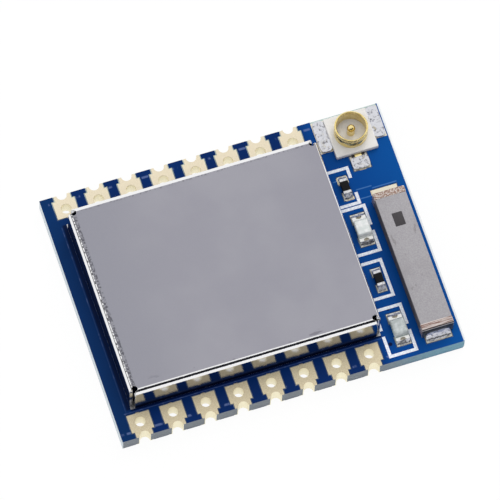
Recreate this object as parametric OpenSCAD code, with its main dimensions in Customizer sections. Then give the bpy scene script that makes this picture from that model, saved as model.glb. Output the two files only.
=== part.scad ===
// Radio module: a thin board with two rows of half-hole solder terminals, a folded shield over
// its chips, a ceramic chip antenna, a coaxial antenna jack, two resistors and two indicator lamps.
// Millimetres. X runs along the terminal rows towards the antenna end, Y across them towards the
// jack's edge and Z up. The origin is the centre of the board's underside.

/* [Board] */
// Width of the board, across the terminal rows
board_w = 16; // [15.6:0.1:18]
// Thickness of the board over both its coats
board_t = 1.0; // [0.4:0.1:1.6]
// Radius of the routed corner beside the antenna
corner_r = 0.2; // [0.1:0.05:0.8]
// Thickness of the copper foil on each side
foil_t = 0.02; // [0.018:0.001:0.07]
// Thickness of the solder mask over the foil
mask_t = 0.02; // [0.015:0.001:0.05]
// Bare gap between a pad and the solder mask around it
mask_gap = 0.06; // [0.03:0.01:0.08]
// Bare laminate between the solder mask and the board's routed right end
mask_setback = 0.12; // [0.04:0.02:0.3]

/* [Terminals] */
// Terminals in each row
row_count = 8; // [4:1:8]
// Distance between neighbouring terminals
pitch = 2; // [1.9:0.05:2.05]
// Distance from the board's left end to the first terminal's centre
first_inset = 1.36; // [1:0.02:1.4]
// Distance from the last terminal's centre to the board's right end
last_inset = 5.64; // [5.2:0.02:7]
// Width of a terminal's pad
pad_w = 1.34; // [1.1:0.02:1.5]
// Distance that a pad reaches in from the board's edge
pad_reach = 1.47; // [1.3:0.01:1.5]
// Width of the pad's neck at the edge
neck_w = 1; // [0.86:0.02:1.1]
// Length of the neck
neck_l = 0.35; // [0.1:0.05:0.4]
// Radius of the plated hole in the pad
hole_r = 0.31; // [0.2:0.01:0.34]
// Distance of that hole's centre from the edge
hole_inset = 0.93; // [0.8:0.01:1]
// Radius of the plated half hole in the edge
notch_r = 0.32; // [0.2:0.01:0.36]
// Thickness of the plating in the holes
plating_t = 0.04; // [0.02:0.01:0.06]

/* [Shield] */
// Height of the shield above the board
shield_h = 2.2; // [2.2:0.05:3]
// Thickness of the shield's sheet
sheet_t = 0.2; // [0.1:0.01:0.24]
// Outer radius of the bends between its top and its walls
bend_r = 0.32; // [0.3:0.01:0.6]
// Radius of the relief hole at each corner of the top
relief_r = 0.18; // [0.1:0.01:0.25]
// Distance from the corner line back to each wall's end, which leaves the corner slit
slit_inset = 0.25; // [0.25:0.01:0.3]
// Distance from the board's left end to the shield
shield_inset = 1.07; // [0.9:0.01:1.2]
// Gap between the shield and the terminals' pads, before it is set off the centre line
shield_gap = 0.38; // [0.3:0.01:0.6]
// Gap between the shield and the jack's ground pad
shield_jack_gap = 0.35; // [0.25:0.01:0.6]
// Distance that the shield sits to the front of the board's centre line
shield_offset = 0.06; // [0:0.01:0.1]
// Width of the copper ring that the walls stand on
ring_w = 0.5; // [0.3:0.05:0.6]
// Leg of the solder fillet inside the shield's foot
shield_fillet = 0.16; // [0.05:0.01:0.25]

/* [Antenna] */
// Width of the ceramic antenna
antenna_w = 1.95; // [1.7:0.05:2]
// Height of the antenna
antenna_h = 1.1; // [0.8:0.05:1.3]
// Length of the metal band at each end
band_l = 0.45; // [0.3:0.05:0.6]
// Thickness of that band
band_t = 0.03; // [0.02:0.005:0.05]
// Distance from the board's right end to the antenna
antenna_inset = 0.47; // [0.35:0.01:0.6]
// Distance from the board's front edge to the antenna
antenna_front = 0.9; // [0.85:0.05:1.1]
// Gap between the antenna's back pad and the jack's signal pad
antenna_jack_gap = 1.49; // [1:0.01:2]
// Width of the pads that the antenna stands on
antenna_pad_w = 1.56; // [1.2:0.05:1.6]
// Distance that the back pad shows past the antenna's end
antenna_back_toe = 0.67; // [0.4:0.01:0.7]
// Distance that the front pad shows past the antenna's end
antenna_front_toe = 0.4; // [0.2:0.01:0.45]
// Width of the dark mark on its top
mark_w = 0.62; // [0.4:0.02:0.8]
// Length of the dark mark
mark_l = 0.87; // [0.5:0.02:1.2]
// Distance from the antenna's back end to the mark
mark_inset = 1.54; // [1.2:0.02:2]

/* [Jack] */
// Side of the jack's square base
base_side = 2.6; // [2.5:0.05:2.7]
// Height of the base
base_h = 0.35; // [0.3:0.01:0.5]
// Height of the jack above the board
jack_h = 1.25; // [1.1:0.05:1.4]
// Outer radius of its shell
shell_r = 1; // [0.95:0.01:1.05]
// Wall of the shell
shell_t = 0.12; // [0.08:0.01:0.15]
// Width of the seam down the shell's front
seam_w = 0.04; // [0.02:0.01:0.08]
// Distance of the seam to the right of the shell's centre line
seam_side = 0.05; // [0.05:0.01:0.1]
// Radius of the centre pin
pin_r = 0.24; // [0.2:0.01:0.3]
// Height of the centre pin's tip above the board
pin_h = 1.15; // [1:0.05:1.2]
// Thickness of the sheet that the shell's feet and the pin's tab are made of
foot_t = 0.1; // [0.08:0.01:0.15]
// Distance that each foot reaches past the base
foot_out = 0.22; // [0.15:0.01:0.3]
// Length of the feet along the base
foot_l = 1.7; // [1.4:0.1:1.9]
// Width of the centre pin's tab
tab_w = 0.44; // [0.3:0.02:0.5]
// Distance that the tab reaches past the base
tab_out = 0.24; // [0.18:0.01:0.3]
// Distance from the board's right end to the jack's ground pad
jack_end_gap = 0.18; // [0.1:0.01:0.3]
// Distance from the board's back edge to the jack's base
jack_back_gap = 0.2; // [0.15:0.01:0.3]

/* [Small parts] */
// Length of a small resistor or capacitor
small_l = 1; // [0.9:0.02:1.1]
// Width of a small resistor or capacitor
small_w = 0.5; // [0.4:0.02:0.56]
// Height of a resistor
resistor_h = 0.35; // [0.25:0.01:0.4]
// Height of a capacitor
capacitor_h = 0.5; // [0.4:0.02:0.6]
// Length of the metal cap at each end of a small part
cap_l = 0.21; // [0.15:0.01:0.3]
// Thickness of the metal caps
cap_t = 0.02; // [0.015:0.005:0.04]
// Gap between the shield and the lamps
lamp_gap = 0.72; // [0.6:0.01:0.8]
// Length of an indicator lamp
lamp_l = 1.6; // [1.5:0.05:1.7]
// Width of an indicator lamp
lamp_w = 0.82; // [0.7:0.02:0.86]
// Thickness of the lamp's base plate
lamp_base_t = 0.2; // [0.15:0.01:0.3]
// Height of the lamp
lamp_h = 0.48; // [0.4:0.02:0.6]
// Places of the resistor, lamp, resistor and lamp, as shares of the way from the front edge to
// the jack
small_places = [0.859, 0.644, 0.391, 0.142];
// Width of the printed lines
line_w = 0.19; // [0.12:0.01:0.22]
// Thickness of the print
print_t = 0.012; // [0.008:0.002:0.02]

/* [Chips under the shield] */
// Side of the controller chip
controller_side = 5; // [4:0.1:5.2]
// Height of the controller chip
controller_h = 0.85; // [0.7:0.05:1]
// Distance between the controller's lands
land_pitch = 0.5; // [0.4:0.05:0.5]
// Length of the memory chip's body across its leads
memory_w = 5.25; // [5:0.05:5.3]
// Length of the memory chip's body along its rows of leads
memory_l = 5.25; // [5:0.05:5.4]
// Gap between the memory chip's top and the shield
memory_head_gap = 0.2; // [0.1:0.05:0.5]
// Span over the memory chip's leads
memory_span = 7.9; // [7.6:0.1:8.1]
// Thickness of the memory chip's leads
lead_t = 0.18; // [0.12:0.02:0.22]
// Distance between the memory chip's leads
lead_pitch = 1.27; // [1.2:0.01:1.27]
// Length of the crystal
crystal_l = 3.2; // [3:0.1:3.3]
// Width of the crystal
crystal_w = 2.5; // [2:0.1:2.5]
// Height of the crystal
crystal_h = 0.7; // [0.6:0.05:0.8]

/* [Hidden] */
$fn = 48;
eps = 0.01;
sides = [1, -1];

// Board edges and levels
board_l = first_inset + (row_count - 1) * pitch + last_inset;
left = -board_l / 2;
right = board_l / 2;
front = -board_w / 2;
back = board_w / 2;
skin_t = foil_t + mask_t;
core_top = board_t - skin_t;
drill_r = hole_r + plating_t;
notch_drill_r = notch_r + plating_t;

// Jack
ground_pad_w = 1.06;
ground_pad_front = 0.68;
ground_pad_back = 0.12;
signal_pad_w = 1.04;
signal_pad_l = 0.95;
signal_pad_gap = 0.04;
foot_reach = base_side / 2 + foot_out;
jack_x = right - jack_end_gap - ground_pad_w / 2 - foot_reach;
jack_y = back - jack_back_gap - base_side / 2;
jack_front = jack_y - base_side / 2;
signal_pad_y = jack_front - signal_pad_gap - signal_pad_l;
base_corner_r = 0.12;
groove_depth = 0.05;
groove_h = 0.12;
groove_drop = 0.24;
foot_hole_r = 0.6;
tab_slot = 0.16;
riser_t = 0.08;
riser_w = 0.4;
shank_side = 0.3;
lip_w = 0.78;
lip_h = 0.12;
lip_gap = 0.03;
cone_h = 0.16;
cone_top_r = 0.15;
dome_h = 0.05;
dome_top_r = 0.09;

// Shield, which fills the board between the terminals and beside the jack
shield_x0 = left + shield_inset;
shield_x1 = jack_x - foot_reach - ground_pad_w / 2 - shield_jack_gap;
shield_x = (shield_x0 + shield_x1) / 2;
shield_y = -shield_offset;
shield_l = shield_x1 - shield_x0;
shield_w = board_w - 2 * (pad_reach + shield_gap);
shield_y0 = shield_y - shield_w / 2;
shield_y1 = shield_y + shield_w / 2;
shield_inner_l = shield_l - 2 * sheet_t;
shield_inner_w = shield_w - 2 * sheet_t;

// Antenna, which reaches from the front edge towards the jack's signal pad
antenna_x = right - antenna_inset - antenna_w / 2;
antenna_y0 = front + antenna_front;
antenna_y1 = signal_pad_y - antenna_jack_gap - antenna_back_toe;
antenna_l = antenna_y1 - antenna_y0;
mark_t = 0.02;
antenna_hold = 0.5;
back_solder_reach = 0.4;
back_solder_rise = 0.33;
front_solder_reach = 0.36;
front_solder_rise = 0.5;

// Small parts beside the shield: resistor, lamp, resistor, lamp from back to front
small_x = shield_x1 + lamp_gap + lamp_w / 2;
small_y = [for (place = small_places) front + place * (jack_front - front)];
resistor_shift = 0.12;
resistor_x = small_x - resistor_shift;
lamp_pad_w = 0.86;
lamp_pad_in = 0.35;
lamp_pad_out = 0.26;
small_pad_w = 0.56;
small_pad_in = 0.24;
small_pad_out = 0.27;
resin_foot_l = 1.12;
resin_top_l = 0.92;
lamp_notch_r = 0.18;
contact_t = 0.02;
contact_l = 0.22;
die_side = 0.26;
die_h = 0.1;
solder_inset = 0.03;
resistor_solder_rise = 0.28;

// Printed frames round the small parts, from each part's own centre. A frame is broken on its
// right between the two heights of its gap, and a lamp's frame on its left too.
frame_gap = 0.11;
frame_left = shield_x1 + frame_gap;
resistor_frame_right = 0.39;
resistor_frame_front = -1.12;
resistor_frame_back = 1.21;
resistor_frame_break = [-0.44, 0.53];
lamp_frame_right = 0.575;
lamp_frame_front = -1.52;
lamp_frame_back = 1.46;
lamp_frame_break = [-0.21, 0.16];
closed = [0, 0];

// Chips under the shield, placed from its walls
inner_x0 = shield_x0 + sheet_t;
inner_x1 = shield_x1 - sheet_t;
inner_y0 = shield_y0 + sheet_t;
inner_y1 = shield_y1 - sheet_t;
chip_mark_r = 0.25;
chip_mark_inset = 0.6;
chip_mark_depth = 0.05;
memory_margin = 0.5;
memory_x = inner_x0 + memory_margin + memory_l / 2;
memory_y = shield_y;
memory_h = shield_h - sheet_t - memory_head_gap;
memory_lift = 0.1;
lead_foot_l = 0.6;
lead_w = 0.42;
lead_root_l = 0.3;
leads_per_side = 4;
controller_margin = 1.75;
controller_drop = 1.3;
controller_x = inner_x1 - controller_margin - controller_side / 2;
controller_y = shield_y - controller_drop;
land_w = 0.25;
land_l = 0.4;
land_t = 0.05;
lands_per_side = 8;
heat_pad_inset = 0.9;
crystal_shift = 0.6;
crystal_gap = 0.7;
crystal_x = controller_x - crystal_shift;
crystal_y = controller_y + controller_side / 2 + crystal_gap + crystal_w / 2;
crystal_lid_t = 0.2;
crystal_lid_inset = 0.15;
crystal_pad_l = 1.1;
crystal_pad_w = 0.9;
coil_l = 1.6;
coil_w = 0.8;
coil_h = 0.8;
coil_cap_l = 0.3;
coil_margin = 1.1;
coil_rise = 2.6;
coil_x = inner_x1 - coil_margin;
coil_y = shield_y + coil_rise;

// Capacitors and resistors under the shield: [x, y, turned across the board]
row_margin = 1;
row_start = 1.35;
row_step = 2;
pair_step = 1.4;
pair_margin = 0.7;
capacitor_places = concat(
    [for (k = [0:2]) [inner_x1 - row_margin, inner_y0 + row_start + k * row_step, true]],
    [for (s = sides) [controller_x + s * pair_step,
                      controller_y - controller_side / 2 - pair_margin, false]],
    [[crystal_x + crystal_l / 2 + crystal_gap, crystal_y, true]]
);
resistor_places = [
    for (s = sides) for (y = [inner_y0 + pair_margin, inner_y1 - pair_margin])
        [memory_x + s * pair_step, y, false]
];

// Copper under the solder mask. One radio line leaves the shield for the back resistor and the
// jack, and another joins the resistor to the antenna.
pour_inset = 0.4;
pour_gap = 0.25;
feed_w = 0.4;
feed_tail = 1;
trace_w = 0.22;
feed_x0 = shield_x1 - ring_w - feed_tail;
jack_feed_y = small_y[0] + (small_l + small_pad_out - small_pad_in) / 2;
antenna_feed_y = antenna_y1 + antenna_back_toe - feed_w / 2;

ROWS = ["front", "back"];
function terminal_name(row, i) = str(row, "_terminal_", i);
function terminal_x(i) = left + first_inset + (i - 1) * pitch;

// ---- Shared outlines ----

module centred(l, w) {
    translate([-l / 2, -w / 2]) square([l, w]);
}

module board_outline() {
    difference() {
        centred(board_l, board_w);
        translate([right - corner_r, front]) difference() {
            square(corner_r);
            translate([0, corner_r]) circle(corner_r);
        }
    }
}

// The board's outline less the bare strip along its routed right end
module mask_outline() {
    intersection() {
        board_outline();
        translate([-mask_setback, 0]) centred(board_l, board_w);
    }
}

// Puts its children at terminal i's place on the board's edge, with +Y pointing off the board
module at_terminal(row, i) {
    translate([terminal_x(i), row == "back" ? back : front, 0])
        mirror([0, row == "back" ? 0 : 1, 0]) children();
}

module at_terminals() {
    for (row = ROWS) for (i = [1:row_count]) at_terminal(row, i) children();
}

// Outline of a terminal's pad, grown on its inner three sides
module pad_outline(grow = 0) {
    translate([-pad_w / 2 - grow, -pad_reach - grow])
        square([pad_w + 2 * grow, pad_reach - neck_l + 2 * grow]);
    translate([-neck_w / 2 - grow, -neck_l - eps])
        square([neck_w + 2 * grow, neck_l + eps]);
}

module drill_outline(r_hole, r_notch) {
    translate([0, -hole_inset]) circle(r_hole);
    circle(r_notch);
}

// A rectangle between two corners
module between(x0, y0, x1, y1) {
    translate([x0, y0]) square([x1 - x0, y1 - y0]);
}

// The ring is open where the radio line runs out under the shield's wall
module ring_outline() {
    difference() {
        translate([shield_x, shield_y]) difference() {
            centred(shield_l, shield_w);
            centred(shield_l - 2 * ring_w, shield_w - 2 * ring_w);
        }
        between(feed_x0, jack_feed_y - feed_w / 2 - pour_gap,
                shield_x1 + eps, jack_feed_y + feed_w / 2 + pour_gap);
    }
}

// ---- Pads of the parts outside the shield ----

module two_pads(l, pad_in, pad_out, w, grow = 0) {
    for (s = sides)
        translate([0, s * (l / 2 + (pad_out - pad_in) / 2)])
            centred(w + 2 * grow, pad_in + pad_out + 2 * grow);
}

module small_pads_outline(grow = 0) {
    for (i = [0, 2])
        translate([resistor_x, small_y[i]])
            two_pads(small_l, small_pad_in, small_pad_out, small_pad_w, grow);
    for (i = [1, 3])
        translate([small_x, small_y[i]])
            two_pads(lamp_l, lamp_pad_in, lamp_pad_out, lamp_pad_w, grow);
}

module antenna_pads_outline(grow = 0) {
    translate([antenna_x - antenna_pad_w / 2 - grow, 0]) {
        translate([0, antenna_y1 - antenna_hold - grow])
            square([antenna_pad_w + 2 * grow, antenna_hold + antenna_back_toe + 2 * grow]);
        translate([0, antenna_y0 - antenna_front_toe - grow])
            square([antenna_pad_w + 2 * grow, antenna_hold + antenna_front_toe + 2 * grow]);
    }
}

module jack_ground_pads_outline(grow = 0) {
    for (s = sides)
        translate([jack_x + s * foot_reach, 0])
            between(-ground_pad_w / 2 - grow, jack_y - ground_pad_front - grow,
                    ground_pad_w / 2 + grow, back - ground_pad_back + grow);
}

module jack_signal_pad_outline(grow = 0) {
    translate([jack_x - signal_pad_w / 2 - grow, signal_pad_y - grow])
        square([signal_pad_w + 2 * grow, signal_pad_l + 2 * grow]);
}

module component_pads_outline(grow = 0) {
    small_pads_outline(grow);
    antenna_pads_outline(grow);
    jack_ground_pads_outline(grow);
    jack_signal_pad_outline(grow);
}

// The mask stops round the jack's ground pads and runs out at the board's back edge
module jack_window() {
    reach = foot_reach + ground_pad_w / 2;
    between(jack_x - reach, jack_y - ground_pad_front, jack_x + reach, back + eps);
}

// ---- Pads under the shield ----

module controller_lands_outline(grow = 0) {
    run = controller_side / 2 - land_l / 2;
    for (turn = [0:90:270]) for (k = [0:lands_per_side - 1])
        rotate(turn) translate([(k - (lands_per_side - 1) / 2) * land_pitch, run])
            centred(land_w + 2 * grow, land_l + 2 * grow);
    side = controller_side - 2 * heat_pad_inset + 2 * grow;
    centred(side, side);
}

function lead_x(k) = (k - (leads_per_side - 1) / 2) * lead_pitch;

module memory_feet_outline(grow = 0) {
    for (s = sides) for (k = [0:leads_per_side - 1])
        translate([lead_x(k), s * (memory_span - lead_foot_l) / 2])
            centred(lead_w + 2 * grow, lead_foot_l + 2 * grow);
}

module crystal_pads_outline(grow = 0) {
    for (sx = sides) for (sy = sides)
        translate([sx * (crystal_l - crystal_pad_l) / 2, sy * (crystal_w - crystal_pad_w) / 2])
            centred(crystal_pad_l + 2 * grow, crystal_pad_w + 2 * grow);
}

module at_places(places) {
    for (p = places) translate([p[0], p[1], 0]) rotate(p[2] ? 0 : 90) children();
}

module inner_pads_outline(grow = 0) {
    translate([controller_x, controller_y]) controller_lands_outline(grow);
    translate([memory_x, memory_y]) memory_feet_outline(grow);
    translate([crystal_x, crystal_y]) crystal_pads_outline(grow);
    at_places(concat(capacitor_places, resistor_places))
        two_pads(small_l, small_pad_in, small_pad_out / 2, small_pad_w, grow);
    translate([coil_x, coil_y])
        two_pads(coil_l, coil_cap_l, small_pad_out / 2, coil_w, grow);
}

// ---- Copper and mask ----

// Everything that the top mask leaves bare
module top_windows() {
    at_terminals() pad_outline(mask_gap);
    ring_outline();
    small_pads_outline(mask_gap);
    antenna_pads_outline(mask_gap);
    jack_signal_pad_outline(mask_gap);
    jack_window();
    inner_pads_outline(mask_gap / 2);
}

// The radio lines, grown where a pour has to keep clear of them
module feed_outline(grow = 0) {
    half = feed_w / 2 + grow;
    between(feed_x0 - grow, jack_feed_y - half, jack_x + half, jack_feed_y + half);
    between(jack_x - half, jack_feed_y - half, jack_x + half, jack_front - signal_pad_gap);
    between(resistor_x - grow, antenna_feed_y - half, antenna_x, antenna_feed_y + half);
    between(resistor_x - half, antenna_feed_y - half, resistor_x + half, small_y[0] - small_l / 2);
}

// The short line that leaves each terminal's inner end
module terminal_traces_outline() {
    at_terminals() translate([-trace_w / 2, -pad_reach - mask_gap - pour_gap])
        square([trace_w, mask_gap + pour_gap]);
}

module ground_outline(x0, x1) {
    between(x0, front + pad_reach + mask_gap + pour_gap, x1, back - pad_reach - mask_gap - pour_gap);
}

module copper_top_outline() {
    difference() {
        union() {
            difference() {
                union() {
                    ground_outline(left + pour_inset, shield_x1 - ring_w - pour_gap);
                    between(frame_left, antenna_feed_y, right - pour_inset, jack_front);
                }
                inner_pads_outline(pour_gap);
                component_pads_outline(pour_gap);
                feed_outline(pour_gap);
            }
            feed_outline();
            terminal_traces_outline();
        }
        ring_outline();
        component_pads_outline();
        inner_pads_outline();
    }
}

module copper_bottom_outline() {
    ground_outline(left + pour_inset, shield_x1);
    terminal_traces_outline();
}

module laminate() {
    color([0.80, 0.82, 0.66])
        translate([0, 0, skin_t]) linear_extrude(board_t - 2 * skin_t) difference() {
            board_outline();
            at_terminals() drill_outline(drill_r, notch_drill_r);
        }
}

module copper_top() {
    color([0.80, 0.52, 0.32])
        translate([0, 0, core_top]) linear_extrude(foil_t) copper_top_outline();
}

module copper_bottom() {
    color([0.80, 0.52, 0.32])
        translate([0, 0, mask_t]) linear_extrude(foil_t) copper_bottom_outline();
}

module solder_mask_top() {
    color([0.03, 0.22, 0.50]) union() {
        translate([0, 0, core_top]) linear_extrude(foil_t) difference() {
            mask_outline();
            top_windows();
            copper_top_outline();
        }
        translate([0, 0, board_t - mask_t]) linear_extrude(mask_t) difference() {
            mask_outline();
            top_windows();
        }
    }
}

module solder_mask_bottom() {
    color([0.03, 0.22, 0.50]) union() {
        linear_extrude(mask_t) difference() {
            mask_outline();
            at_terminals() pad_outline(mask_gap);
        }
        translate([0, 0, mask_t]) linear_extrude(foil_t) difference() {
            mask_outline();
            at_terminals() pad_outline(mask_gap);
            copper_bottom_outline();
        }
    }
}

// One terminal: a pad on each face, joined by the plated hole and the plated half hole
module terminal() {
    color([0.82, 0.75, 0.58]) difference() {
        union() {
            for (z = [0, core_top])
                translate([0, 0, z]) linear_extrude(skin_t) pad_outline();
            linear_extrude(board_t) intersection() {
                drill_outline(drill_r, notch_drill_r);
                translate([-pad_w, -pad_reach]) square([2 * pad_w, pad_reach]);
            }
        }
        translate([0, 0, -eps]) linear_extrude(board_t + 2 * eps) drill_outline(hole_r, notch_r);
    }
}

module component_pads() {
    color([0.85, 0.80, 0.66])
        translate([0, 0, core_top]) linear_extrude(skin_t) component_pads_outline();
}

module inner_pads() {
    color([0.85, 0.80, 0.66])
        translate([0, 0, core_top]) linear_extrude(skin_t) inner_pads_outline();
}

// ---- Printed lines beside the shield ----

// A straight line of print that ends square
module print_line(x0, y0, x1, y1) {
    between(min(x0, x1) - line_w / 2, min(y0, y1) - line_w / 2,
            max(x0, x1) + line_w / 2, max(y0, y1) + line_w / 2);
}

// A line along a frame's side, broken between two heights when they differ
module side_line(x, y0, y1, gap) {
    if (gap[1] > gap[0]) {
        print_line(x, y0, x, gap[0] - line_w / 2);
        print_line(x, gap[1] + line_w / 2, x, y1);
    } else {
        print_line(x, y0, x, y1);
    }
}

// A frame round small part i
module print_frame(i, frame_right, y0, y1, right_gap, left_gap) {
    translate([0, small_y[i]]) {
        print_line(frame_left, y0, frame_right, y0);
        print_line(frame_left, y1, frame_right, y1);
        side_line(frame_right, y0, y1, right_gap);
        side_line(frame_left, y0, y1, left_gap);
    }
}

module frames_outline() {
    for (i = [0, 2])
        print_frame(i, small_x + resistor_frame_right, resistor_frame_front, resistor_frame_back,
                    i == 0 ? resistor_frame_break : closed, closed);
    for (i = [1, 3])
        print_frame(i, small_x + lamp_frame_right, lamp_frame_front, lamp_frame_back,
                    lamp_frame_break, lamp_frame_break);
}

module legend() {
    color([0.86, 0.88, 0.92])
        translate([0, 0, board_t]) linear_extrude(print_t) frames_outline();
}

// ---- Shield ----

module shield_ring() {
    color([0.80, 0.80, 0.78])
        translate([0, 0, core_top]) linear_extrude(skin_t) ring_outline();
}

// One side of the shield: its bend along the top and the wall below it, drawn in the plane that
// looks along the wall, with X outwards from the end of the flat top
module bend_profile() {
    intersection() {
        difference() {
            circle(bend_r);
            circle(bend_r - sheet_t);
        }
        square(bend_r);
    }
}

module shield_side(run) {
    flat_run = run - 2 * bend_r;
    wall_run = run - 2 * slit_inset;
    translate([0, flat_run / 2, shield_h - bend_r]) rotate([90, 0, 0])
        linear_extrude(flat_run) bend_profile();
    translate([bend_r - sheet_t, -wall_run / 2, 0])
        cube([sheet_t, wall_run, shield_h - bend_r]);
}

// The four bends and walls, and the relief hole at each corner, where two bends would meet
module shield_can() {
    flat_l = shield_l - 2 * bend_r;
    flat_w = shield_w - 2 * bend_r;
    color([0.70, 0.70, 0.72])
        translate([shield_x, shield_y, board_t]) difference() {
            union() {
                translate([0, 0, shield_h - sheet_t])
                    linear_extrude(sheet_t) centred(flat_l, flat_w);
                for (turn = [0, 180]) {
                    rotate(turn) translate([flat_l / 2, 0, 0]) shield_side(shield_w);
                    rotate(turn + 90) translate([flat_w / 2, 0, 0]) shield_side(shield_l);
                }
            }
            for (sx = sides) for (sy = sides)
                translate([sx * flat_l / 2, sy * flat_w / 2, shield_h - bend_r])
                    cylinder(r = relief_r, h = bend_r + eps);
        }
}

// A hollow wedge of solder that stands against the plane X = 0, centred on Y = 0
module fillet(run, reach, rise) {
    waist = [0.4 * reach, 0.35 * rise];
    translate([0, run / 2, 0]) rotate([90, 0, 0]) linear_extrude(run)
        polygon([[0, 0], [reach, 0], waist, [0, rise]]);
}

module shield_solder() {
    color([0.78, 0.78, 0.80])
        translate([shield_x, shield_y, board_t]) for (turn = [0, 180]) {
            rotate(turn) translate([-shield_inner_l / 2, 0, 0])
                fillet(shield_inner_w - 2 * bend_r, shield_fillet, shield_fillet);
            rotate(turn + 90) translate([-shield_inner_w / 2, 0, 0])
                fillet(shield_inner_l - 2 * bend_r, shield_fillet, shield_fillet);
        }
}

// ---- Antenna ----

module antenna_envelope(shrink = 0) {
    translate([-antenna_w / 2 + shrink, shrink, shrink])
        cube([antenna_w - 2 * shrink, antenna_l - 2 * shrink, antenna_h - 2 * shrink]);
}

module at_antenna() {
    translate([antenna_x, antenna_y0, board_t]) children();
}

module mark_solid() {
    translate([-mark_w / 2, antenna_l - mark_inset - mark_l, antenna_h - band_t - mark_t])
        cube([mark_w, mark_l, mark_t]);
}

module antenna_bands() {
    color([0.72, 0.60, 0.52]) at_antenna() difference() {
        intersection() {
            antenna_envelope();
            for (y = [0, antenna_l - band_l])
                translate([-antenna_w, y, 0]) cube([2 * antenna_w, band_l, antenna_h]);
        }
        antenna_envelope(band_t);
    }
}

module antenna_body() {
    color([0.66, 0.65, 0.66]) at_antenna() difference() {
        antenna_envelope(band_t);
        mark_solid();
    }
}

module antenna_mark() {
    color([0.30, 0.28, 0.29]) at_antenna() mark_solid();
}

module antenna_solder() {
    color([0.80, 0.80, 0.82]) {
        translate([antenna_x, antenna_y1, board_t]) rotate(90)
            fillet(antenna_pad_w - 2 * solder_inset, back_solder_reach, back_solder_rise);
        translate([antenna_x, antenna_y0, board_t]) rotate(-90)
            fillet(antenna_pad_w - 2 * solder_inset, front_solder_reach, front_solder_rise);
    }
}

// ---- Coaxial jack ----

module at_jack() {
    translate([jack_x, jack_y, board_t]) children();
}

// The shell's wall, with a rolled rim and a sharp groove that a plug's ring clips into
module shell_profile() {
    rim_r = shell_t / 2;
    groove_top = jack_h - groove_drop;
    difference() {
        union() {
            translate([shell_r - shell_t, base_h]) square([shell_t, jack_h - rim_r - base_h]);
            translate([shell_r - rim_r, jack_h - rim_r]) circle(rim_r);
        }
        polygon([[shell_r + eps, groove_top - groove_h],
                 [shell_r - groove_depth, groove_top - groove_h / 2],
                 [shell_r + eps, groove_top]]);
    }
}

// The shell's ring, which stands on the base
module shell_ring() {
    rotate_extrude($fn = 96) shell_profile();
}

// The sheet under the base, open in front for the pin's tab and in the middle for the pin
module shell_feet() {
    linear_extrude(foot_t) difference() {
        centred(2 * foot_reach, foot_l);
        circle(foot_hole_r);
        between(-tab_w / 2 - tab_slot, -foot_l, tab_w / 2 + tab_slot, 0);
    }
}

// Two blocks that join the ring to its feet through the base
module shell_risers() {
    for (s = sides)
        translate([s * (shell_r - shell_t + riser_t / 2) - riser_t / 2, -riser_w / 2, foot_t])
            cube([riser_t, riser_w, base_h - foot_t]);
}

module seam() {
    translate([seam_side - seam_w / 2, -shell_r - eps, base_h - eps])
        cube([seam_w, shell_t + 2 * eps, jack_h]);
}

// The tab that the pin is soldered by, and the square shank between them
module pin_root() {
    translate([-tab_w / 2, -base_side / 2 - tab_out, 0])
        cube([tab_w, base_side / 2 + tab_out, foot_t]);
    linear_extrude(base_h) centred(shank_side, shank_side);
}

module jack_base() {
    inner = base_side - 2 * base_corner_r;
    color([0.87, 0.86, 0.84]) at_jack() difference() {
        linear_extrude(base_h) union() {
            centred(inner, base_side);
            centred(base_side, inner);
            for (sx = sides) for (sy = sides)
                translate([sx * inner / 2, sy * inner / 2]) circle(base_corner_r);
        }
        shell_feet();
        shell_risers();
        pin_root();
    }
}

module jack_shell() {
    color([0.88, 0.73, 0.38]) at_jack() {
        shell_feet();
        shell_risers();
        difference() {
            shell_ring();
            seam();
        }
    }
}

// The centre pin ends in a short cone and a low dome
module jack_pin() {
    cone_z = pin_h - dome_h - cone_h;
    color([0.90, 0.74, 0.36]) at_jack() {
        pin_root();
        translate([0, 0, base_h]) cylinder(r = pin_r, h = cone_z - base_h);
        translate([0, 0, cone_z]) cylinder(r1 = pin_r, r2 = cone_top_r, h = cone_h);
        translate([0, 0, pin_h - dome_h]) cylinder(r1 = cone_top_r, r2 = dome_top_r, h = dome_h);
    }
}

// The dark foot of the insulator, which holds the tab where it leaves the base
module jack_lip() {
    color([0.10, 0.09, 0.08]) at_jack() difference() {
        translate([-lip_w / 2, -base_side / 2 - tab_out + lip_gap, 0])
            cube([lip_w, tab_out - lip_gap, lip_h]);
        pin_root();
    }
}

module jack_solder() {
    color([0.80, 0.80, 0.83]) at_jack() {
        for (s = sides)
            translate([s * foot_reach, 0, 0]) mirror([s < 0 ? 1 : 0, 0, 0])
                fillet(foot_l, ground_pad_w / 2 - solder_inset, foot_t);
        translate([0, -base_side / 2 - tab_out, 0]) rotate(-90)
            fillet(signal_pad_w - 2 * solder_inset,
                   signal_pad_l + signal_pad_gap - tab_out - solder_inset, foot_t);
    }
}

// ---- Small parts: a core with a metal cap over each end, lying along Y on the board ----

module part_core(l, w, h) {
    translate([-w / 2 + cap_t, -l / 2 + cap_t, cap_t])
        cube([w - 2 * cap_t, l - 2 * cap_t, h - 2 * cap_t]);
}

module part_caps(l, w, h, end_l) {
    difference() {
        for (s = sides)
            translate([-w / 2, s * (l - end_l) / 2 - end_l / 2, 0]) cube([w, end_l, h]);
        part_core(l, w, h);
    }
}

module at_resistor(i) {
    translate([resistor_x, small_y[i], board_t]) children();
}

module resistor(i) {
    color([0.10, 0.10, 0.11]) at_resistor(i) part_core(small_l, small_w, resistor_h);
}

module resistor_caps(i) {
    color([0.84, 0.84, 0.85]) at_resistor(i) part_caps(small_l, small_w, resistor_h, cap_l);
}

// ---- Indicator lamps: a base plate with notched metal ends, a die and a clear resin block ----

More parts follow.
